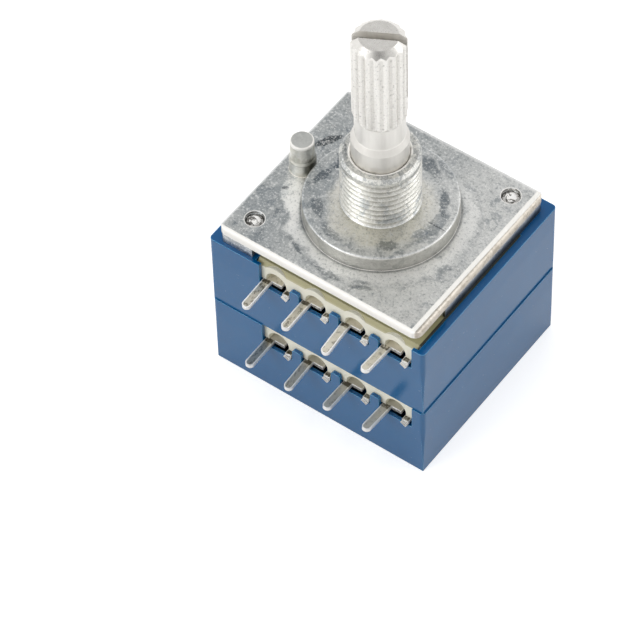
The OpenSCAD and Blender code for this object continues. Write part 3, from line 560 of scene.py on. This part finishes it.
# %% Cast zinc: roughness and relief
rough = add(t, "Math", [fleck, 0.25, 0.26], operation="MULTIPLY_ADD")
rough = add(t, "Math", [plate_side_wear_and_reflection, 0.35, rough], operation="MULTIPLY_ADD")
rough = add(t, "Math", [bush_end, 0.15, rough], operation="MULTIPLY_ADD")
# Worn edges are smooth, so the relief dies away there
calm = add(t, "Math", [1, edge], operation="SUBTRACT")
calm = add(t, "Math", [calm, 0.35], operation="MULTIPLY")
bump = add(t, "Bump", {"Strength": calm, "Distance": 0.00006, "Height": grain, "Normal": soft_normal})
bump = add(t, "Bump", {"Strength": calm, "Distance": 0.00018, "Height": fleck, "Normal": bump})
finish(t, bsdf, tone, rough, bump)
print("zinc nodes:", len(t.nodes))

# %% [markdown]
# ## Turned shaft metal
# The shaft is turned from light alloy bar and its teeth are rolled. Turning leaves rings a few
# hundredths of a millimetre apart. Those would vanish at this size, so they are drawn 0.12 mm apart.
# Along the teeth the rolling die leaves small dark pits and streaks instead, and the pattern of the
# streaks is stretched along Z. The valleys have painted shade, and the saw leaves the slot dull.

# %% Turned metal: sizes and noises
SHAFT_TOP = box_mm("shaft")[1].z
TOOTH_FOOT = SHAFT_TOP - 11.5
SLOT_FLOOR = SHAFT_TOP - 9.6
SLOT_TURN, SLOT_HALF = 28.8, 0.5
VALLEY_R = 2.76
JOURNAL_TOP = BUSH_TOP + 2.44

turned_shaft, t, bsdf, place = material("turned_light_alloy")
rings = add(t, "Mapping", {"Vector": place, "Scale": (0.05, 0.05, 1)})
rings = add(t, "TexNoise", {"Vector": rings, "Scale": 1 / 0.12, "Detail": 2, "Roughness": 0.5})
streaks = add(t, "Mapping", {"Vector": place, "Scale": (1, 1, 0.10)})
streaks = add(t, "TexNoise", {"Vector": streaks, "Scale": 1 / 0.6, "Detail": 2, "Roughness": 0.5})
pits = add(t, "TexNoise", {"Vector": place, "Scale": 1 / 0.32, "Detail": 3, "Roughness": 0.6})
print("teeth from", round(TOOTH_FOOT, 2), "mm, slot from", round(SLOT_FLOOR, 2), "mm")

# %% Turned metal: teeth, slot and journal
height = add(t, "SeparateXYZ", [place]).outputs["Z"]
toothed = add(t, "MapRange", [height, TOOTH_FOOT - 0.6, TOOTH_FOOT, 0, 1], interpolation_type="SMOOTHSTEP")
below_tip = add(t, "MapRange", [height, SHAFT_TOP - 0.7, SHAFT_TOP - 1, 0, 1],
                interpolation_type="SMOOTHSTEP")
on_teeth = add(t, "Math", [toothed, below_tip], operation="MULTIPLY")
pitted = add(t, "Math", [pits, on_teeth], operation="MULTIPLY")
radius = add(t, "VectorMath", [place, (1, 1, 0)], operation="MULTIPLY")
radius = add(t, "VectorMath", [radius], operation="LENGTH").outputs["Value"]
# Painted shade in the valleys between the teeth
valley_shade = add(t, "MapRange", [radius, VALLEY_R + 0.14, VALLEY_R, 0, 1], interpolation_type="SMOOTHSTEP")
valley_shade = add(t, "Math", [valley_shade, on_teeth], operation="MULTIPLY")
across = add(t, "Mapping", {"Vector": place, "Rotation": (0, 0, math.radians(-SLOT_TURN))})
across = add(t, "SeparateXYZ", [across]).outputs["Y"]
sawn = between(t, across, -SLOT_HALF - 0.02, SLOT_HALF + 0.02, 0.01)
above_floor = add(t, "Math", [height, SLOT_FLOOR - 0.1], operation="GREATER_THAN")
sawn = add(t, "Math", [sawn, above_floor], operation="MULTIPLY")
journal = add(t, "MapRange", [height, JOURNAL_TOP + 0.16, JOURNAL_TOP - 0.04, 0, 1])
taper = between(t, height, JOURNAL_TOP + 0.06, JOURNAL_TOP + 0.76, 0.1)
print("journal up to", round(JOURNAL_TOP, 2), "mm")

# %% Turned metal: colours, roughness and relief
tone = add(t, "Mix", [streaks, linear("#e0ddd8"), linear("#f8f6f1")], data_type="RGBA")
# Painted shade in the valleys
tone = tint(t, tone, valley_shade, 0, 1, 0.30, "#a9a6a0")
tone = tint(t, tone, journal, 0, 1, 0.25, "#b9b6b0")
tone = tint(t, tone, taper, 0, 1, 0.45, "#c4c1bb")
tone = tint(t, tone, pitted, 0.58, 0.68, 0.60, "#9d9c98")
edge, soft_normal = wear_and_highlight_edges(t, 0.05)
tone = tint(t, tone, edge, 0, 1, 0.6, "#ffffff")
rough = add(t, "Math", [pits, 0.18, 0.20], operation="MULTIPLY_ADD")
rough = add(t, "Math", [sawn, 0.40, rough], operation="MULTIPLY_ADD")
plain_turned = add(t, "Math", [1, toothed], operation="SUBTRACT")
rough = add(t, "Math", [plain_turned, 0.10, rough], operation="MULTIPLY_ADD")
rings = add(t, "Math", [rings, plain_turned], operation="MULTIPLY")
bump = add(t, "Bump", {"Strength": 0.25, "Distance": 0.00003, "Height": rings, "Normal": soft_normal})
bump = add(t, "Bump", {"Strength": 0.20, "Distance": 0.00004, "Height": pits, "Normal": bump})
finish(t, bsdf, tone, rough, bump)
bsdf.inputs["Metallic"].default_value = 1
print("shaft nodes:", len(t.nodes))

# %% [markdown]
# ## Blue moulded housings
# The housings are a blue engineering plastic from a polished mould. The faces are glossy enough to
# mirror what is near, with a slight waviness. Faces that look up get a deeper blue. Sharp edges
# have a painted highlight of light blue, and a few pale specks of dust sit on the faces.

# %% Blue plastic
blue_housing, t, bsdf, place = material("blue_thermoplastic_moulded")
wave = add(t, "TexNoise", {"Vector": place, "Scale": 1 / 3.5, "Detail": 2, "Roughness": 0.5})
dust = add(t, "TexNoise", {"Vector": place, "Scale": 1 / 0.45, "Detail": 4, "Roughness": 0.7})
tone = add(t, "Mix", [wave, linear("#065a90"), linear("#0a6399")], data_type="RGBA")
lean = add(t, "SeparateXYZ", [add(t, "NewGeometry").outputs["True Normal"]]).outputs["Z"]
# Faces that look up get a deeper blue
tone = tint(t, tone, lean, 0.6, 0.9, 0.85, "#004f86")
edge, soft_normal = wear_and_highlight_edges(t, 0.16, full=0.90)
# Painted highlight: sharp edges painted light blue
tone = tint(t, tone, edge, 0, 1, 0.80, "#62b2e2")
tone = tint(t, tone, dust, 0.67, 0.76, 0.50, "#a9cbe2")
rough = add(t, "Math", [dust, 0.10, 0.10], operation="MULTIPLY_ADD")
bump = add(t, "Bump", {"Strength": 0.08, "Distance": 0.0001, "Height": wave, "Normal": soft_normal})
finish(t, bsdf, tone, rough, bump)
bsdf.inputs["IOR"].default_value = 1.5
print("blue nodes:", len(t.nodes))

# %% [markdown]
# ## Cream carriers
# The boards that hold the printed tracks are a cream moulding compound, matt and faintly cloudy.
# The front one has a painted olive shade on top, where the plate covers it, but the arches over the
# terminals stay pale. The narrow side edges of both boards are painted dark, a painted shadow of the gap.

# %% Cream moulding compound
carrier_low, carrier_high = box_mm("front_carrier")
cream_board, t, bsdf, place = material("cream_moulding_compound")
cloud = add(t, "TexNoise", {"Vector": place, "Scale": 1 / 2.0, "Detail": 4, "Roughness": 0.6})
grain = add(t, "TexNoise", {"Vector": place, "Scale": 1 / 0.25, "Detail": 3, "Roughness": 0.6})
axes = add(t, "SeparateXYZ", [place]).outputs
facets = add(t, "SeparateXYZ", [add(t, "NewGeometry").outputs["True Normal"]]).outputs
near_top = add(t, "MapRange", [axes["Z"], carrier_high.z - 0.8, carrier_high.z - 0.3, 0, 1])
upward = add(t, "MapRange", [facets["Z"], 0.2, 0.5, 0, 1])
level = between(t, facets["Y"], -0.3, 0.3, 0.1)
at_arches = add(t, "Math", [axes["Y"], carrier_low.y + 0.46], operation="LESS_THAN")
arch_top = add(t, "Math", [level, at_arches], operation="MULTIPLY")
# Painted shade on top of the front board, where the plate covers it
shade_under_plate = add(t, "Math", [near_top, upward], operation="MULTIPLY")
shade_under_plate = add(t, "Math", [shade_under_plate, arch_top], operation="SUBTRACT")
# Distance from the middle, for a painted shadow on the boards' side edges
shadow_side_distance = add(t, "Math", [axes["X"]], operation="ABSOLUTE")
print("carrier front at", round(carrier_low.y, 2), "mm")

# %% Cream moulding compound: colours and relief
tone = add(t, "Mix", [cloud, linear("#f0ecd6"), linear("#fffdf0")], data_type="RGBA")
# Painted olive shade under the plate
tone = tint(t, tone, shade_under_plate, 0, 1, 0.85, "#aca56f")
edge, soft_normal = wear_and_highlight_edges(t, 0.10)
# Painted highlight: the edges of the boards painted near white
tone = tint(t, tone, edge, 0, 1, 0.8, "#fffef6")
# Painted shadow on the side edges
tone = tint(t, tone, shadow_side_distance, carrier_high.x - 0.32, carrier_high.x - 0.19, 0.95, "#1d201d")
rough = add(t, "Math", [grain, 0.2, 0.38], operation="MULTIPLY_ADD")
bump = add(t, "Bump", {"Strength": 0.3, "Distance": 0.00005, "Height": grain, "Normal": soft_normal})
finish(t, bsdf, tone, rough, bump)
print("cream nodes:", len(t.nodes))

# %% [markdown]
# ## Tinned terminals
# The terminals are brass strip, stamped and tin plated. Tin is soft, so the flats are scuffed, the
# left blades the most, while the stamped outline stays bright and carries a painted highlight, as do
# the sides that face right. The rear row has lost more of its shine, and a dark brown painted
# shadow and reflection of the cream lip lies where the strip enters the housing.
#
# The blades stand at an even pitch. So one outline fits them all: the distance to a blade's middle
# line, wrapped at the pitch and closed by a half circle at the tip.

# %% Tin plate: noises and the outline of the blades
BLADE_HALF = 0.53
FACE = box_mm("front_housing")[0].y
first, last = (box_mm(f"front_terminal_{i}")[0] for i in (1, 4))
pitch = (last.x - first.x) / 3

tinned_terminal, t, bsdf, place = material("tin_plated_strip")
scuff = add(t, "Mapping", {"Vector": place, "Scale": (1, 0.6, 1)})
scuff = add(t, "TexNoise", {"Vector": scuff, "Scale": 1 / 0.32, "Detail": 4, "Roughness": 0.7})
blotch = add(t, "TexNoise", {"Vector": place, "Scale": 1 / 1.2, "Detail": 2, "Roughness": 0.5})
axes = add(t, "SeparateXYZ", [place]).outputs
across = add(t, "Math", [axes["X"], first.x + BLADE_HALF], operation="SUBTRACT")
across = add(t, "Math", [across, pitch / 2, -pitch / 2], operation="WRAP")
tip = add(t, "Math", [first.y + BLADE_HALF, axes["Y"]], operation="SUBTRACT")
tip = add(t, "Math", [tip, 0], operation="MAXIMUM")
outline = add(t, "VectorMath", [add(t, "CombineXYZ", [across, tip, 0])], operation="LENGTH").outputs["Value"]
outline = between(t, outline, BLADE_HALF - 0.15, BLADE_HALF + 0.10, 0.02)
outside = add(t, "MapRange", [axes["Y"], FACE + 0.20, FACE, 0, 1])
outline = add(t, "Math", [outline, outside], operation="MULTIPLY")
print("terminal pitch in mm:", round(pitch, 3))

# %% Tin plate: scuffs, film and bright edges
scuffing = add(t, "MapRange", [axes["X"], -8, 8, 1, 0.4])
sheltered = add(t, "MapRange", [axes["Y"], FACE + 0.55, FACE + 0.15, 0.3, 1])
scuffing = add(t, "Math", [scuffing, sheltered], operation="MULTIPLY")
scuffed = add(t, "Math", [scuff, 0.5], operation="SUBTRACT")
scuffed = add(t, "Math", [scuffed, scuffing, 0.5], operation="MULTIPLY_ADD")
row_gap = (box_mm("rear_terminal_1")[1].z + box_mm("front_terminal_1")[0].z) / 2
rear_row = add(t, "Math", [axes["Z"], row_gap], operation="LESS_THAN")
# Painted shadow and reflection of the cream lip where the strip enters the housing
root_shade = add(t, "Math", [between(t, axes["Y"], FACE, FACE + 0.70, 0.12), scuff], operation="MULTIPLY")
edge, soft_normal = wear_and_highlight_edges(t, 0.22, full=0.96)
# The faces that look right and the outline are painted white below: a painted highlight
sideways = add(t, "SeparateXYZ", [add(t, "NewGeometry").outputs["True Normal"]]).outputs["X"]
lit_right_sides = add(t, "MapRange", [sideways, 0.4, 0.7, 0, 1])
edge = add(t, "Math", [edge, lit_right_sides], operation="MAXIMUM")
edge = add(t, "Math", [edge, outline], operation="MAXIMUM")
edge = add(t, "Math", [rear_row, -0.25, edge], operation="MULTIPLY_ADD", use_clamp=True)
print("rear row below", round(row_gap, 2), "mm")

# %% Tin plate: colours, metal and relief
tone = add(t, "Mix", [blotch, linear("#c9c2b2"), linear("#efeadd")], data_type="RGBA")
tone = tint(t, tone, scuffed, 0.50, 0.59, 0.75, "#665f4e")
tone = tint(t, tone, rear_row, 0, 1, 0.50, "#8b8c88")
# Painted dark brown shadow at the roots
tone = tint(t, tone, root_shade, 0.32, 0.50, 0.90, "#352d18")
# Painted highlight on the edges, the outline and the sides that face right
tone = tint(t, tone, edge, 0, 1, 0.95, "#ffffff")
# Edges, sheltered roots and the right-hand blades scatter light instead of mirroring it
inner = add(t, "MapRange", [axes["Y"], FACE + 0.45, FACE + 0.65, 0, 0.7])
scattering = add(t, "Math", [edge, inner], operation="MAXIMUM")
dulled = add(t, "MapRange", [scuffing, 1, 0.4, 0.15, 0.90])
scattering = add(t, "Math", [scattering, dulled], operation="MAXIMUM")
metal = add(t, "Math", [scattering, -0.80, 1], operation="MULTIPLY_ADD")
t.links.new(metal.outputs[0], bsdf.inputs["Metallic"])
rough = add(t, "Math", [scuff, 0.25, 0.20], operation="MULTIPLY_ADD")
bump = add(t, "Bump", {"Strength": 0.3, "Distance": 0.00006, "Height": scuff, "Normal": soft_normal})
finish(t, bsdf, tone, rough, bump)
print("tin nodes:", len(t.nodes))

# %% [markdown]
# ## Screws and the pieces inside
# The long screws are nickel-plated steel. They were cut to length, so their ends are torn and catch
# the light in patches. Inside sit a nylon thrust washer, a plated stop plate, natural plastic
# rotors, bronze wipers, and the printed carbon tracks and silver rings. Each of those is a base
# colour with a fine mottle, so one function can make them all.

# %% Nickel-plated screws
nickel_screw, t, bsdf, place = material("nickel_plated_steel")
torn = add(t, "TexNoise", {"Vector": place, "Scale": 1 / 0.55, "Detail": 2, "Roughness": 0.5,
                           "Distortion": 1})
tone = add(t, "Mix", [torn, linear("#f6f3ec"), linear("#ffffff")], data_type="RGBA")
tone = tint(t, tone, torn, 0.48, 0.43, 0.85, "#2a251f")
rough = add(t, "Math", [torn, 0.2, 0.12], operation="MULTIPLY_ADD")
soft_normal = wear_and_highlight_edges(t, 0.06)[1]
bump = add(t, "Bump", {"Strength": 0.4, "Distance": 0.0003, "Height": torn, "Normal": soft_normal})
finish(t, bsdf, tone, rough, bump)
bsdf.inputs["Metallic"].default_value = 0.2
print("screw nodes:", len(t.nodes))

# %% Small materials
def mottled(name, dark, light, size_mm, metallic, roughness):
    """A finish with two close tones, mottled at one size."""
    made, tree, shader, where = material(name)
    cloudy = add(tree, "TexNoise", {"Vector": where, "Scale": 1 / size_mm, "Detail": 4, "Roughness": 0.6})
    colour = add(tree, "Mix", [cloudy, linear(dark), linear(light)], data_type="RGBA")
    uneven = add(tree, "Math", [cloudy, 0.2, roughness - 0.1], operation="MULTIPLY_ADD")
    normal = wear_and_highlight_edges(tree, 0.06)[1]
    lifted = add(tree, "Bump", {"Strength": 0.3, "Distance": 0.00001, "Height": cloudy, "Normal": normal})
    finish(tree, shader, colour, uneven, lifted)
    shader.inputs["Metallic"].default_value = metallic
    return made


finishes = {
    "cast_zinc": cast_zinc,
    "turned_shaft": turned_shaft,
    "blue_housing": blue_housing,
    "cream_board": cream_board,
    "tinned_terminal": tinned_terminal,
    "nickel_screw": nickel_screw,
    "plain_steel": mottled("zinc_plated_steel", "#9fa3a8", "#bfc2c6", 0.8, 1, 0.35),
    "white_nylon": mottled("natural_nylon", "#dcdad2", "#e8e6df", 1.5, 0, 0.45),
    "ivory_plastic": mottled("natural_acetal_moulded", "#dad5c2", "#e6e2d2", 2.0, 0, 0.40),
    "spring_bronze": mottled("phosphor_bronze_strip", "#a9794a", "#c9995f", 0.6, 1, 0.30),
    "carbon_print": mottled("printed_carbon", "#17181a", "#242528", 0.3, 0, 0.60),
    "silver_print": mottled("printed_silver", "#b8b7b2", "#d2d1cc", 0.3, 1, 0.45),
}
print("finishes:", sorted(finishes))

# %% Dress the CAD nodes
for part in frame["record"]["subparts"]:
    dressed = nodes[part["node"]]
    dressed.data.materials.clear()
    dressed.data.materials.append(finishes[part["material_slot"]])

# %% [markdown]
# ## The cut ends of the screws
# Each screw comes up through a corner of the plate and ends just under the surface, in a crowned
# tip and the last turn of its thread. A turned shape needs only half its section: the profile is
# drawn in the XZ plane and spun once round the axis. Both ends of the profile lie on the axis, so
# the spin closes the shape, and the doubled points there are merged.

# %% Screw ends
# Radius and depth under the plate's top, in mm, from the crown down to the root of the thread turn
END_PROFILE = [(0, 0.09), (0.34, 0.10), (0.58, 0.15), (0.72, 0.24), (0.70, 0.30), (0.90, 0.37),
               (0.94, 0.41), (0.74, 0.50), (0.72, 0.62), (0, 0.64)]
END_STEPS = 48


def screw_end(name, axis):
    """The crowned end of a screw, with its last thread turn, on an upright axis in mm."""
    bm = bmesh.new()
    points = [bm.verts.new((r / 1000, 0, (PLATE_TOP - depth) / 1000)) for r, depth in END_PROFILE]
    for pair in zip(points, points[1:]):
        bm.edges.new(pair)
    bmesh.ops.spin(bm, geom=bm.verts[:] + bm.edges[:], cent=(0, 0, 0), axis=(0, 0, 1),
                   angle=2 * math.pi, steps=END_STEPS, use_merge=True)
    bmesh.ops.remove_doubles(bm, verts=bm.verts, dist=1e-7)
    bmesh.ops.recalc_face_normals(bm, faces=bm.faces)
    bmesh.ops.translate(bm, verts=bm.verts, vec=(axis.x / 1000, axis.y / 1000, 0))
    for face in bm.faces:
        face.smooth = True
    mesh = bpy.data.meshes.new(name)
    bm.to_mesh(mesh)
    bm.free()
    piece = bpy.data.objects.new(name, mesh)
    bpy.context.scene.collection.objects.link(piece)
    piece.data.materials.append(nickel_screw)
    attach(piece, "body")
    return piece


ends = [screw_end(name, screw) for name, screw in zip(("left_screw_end", "right_screw_end"), screws)]
print("screw ends:", [(end.name, len(end.data.polygons)) for end in ends])
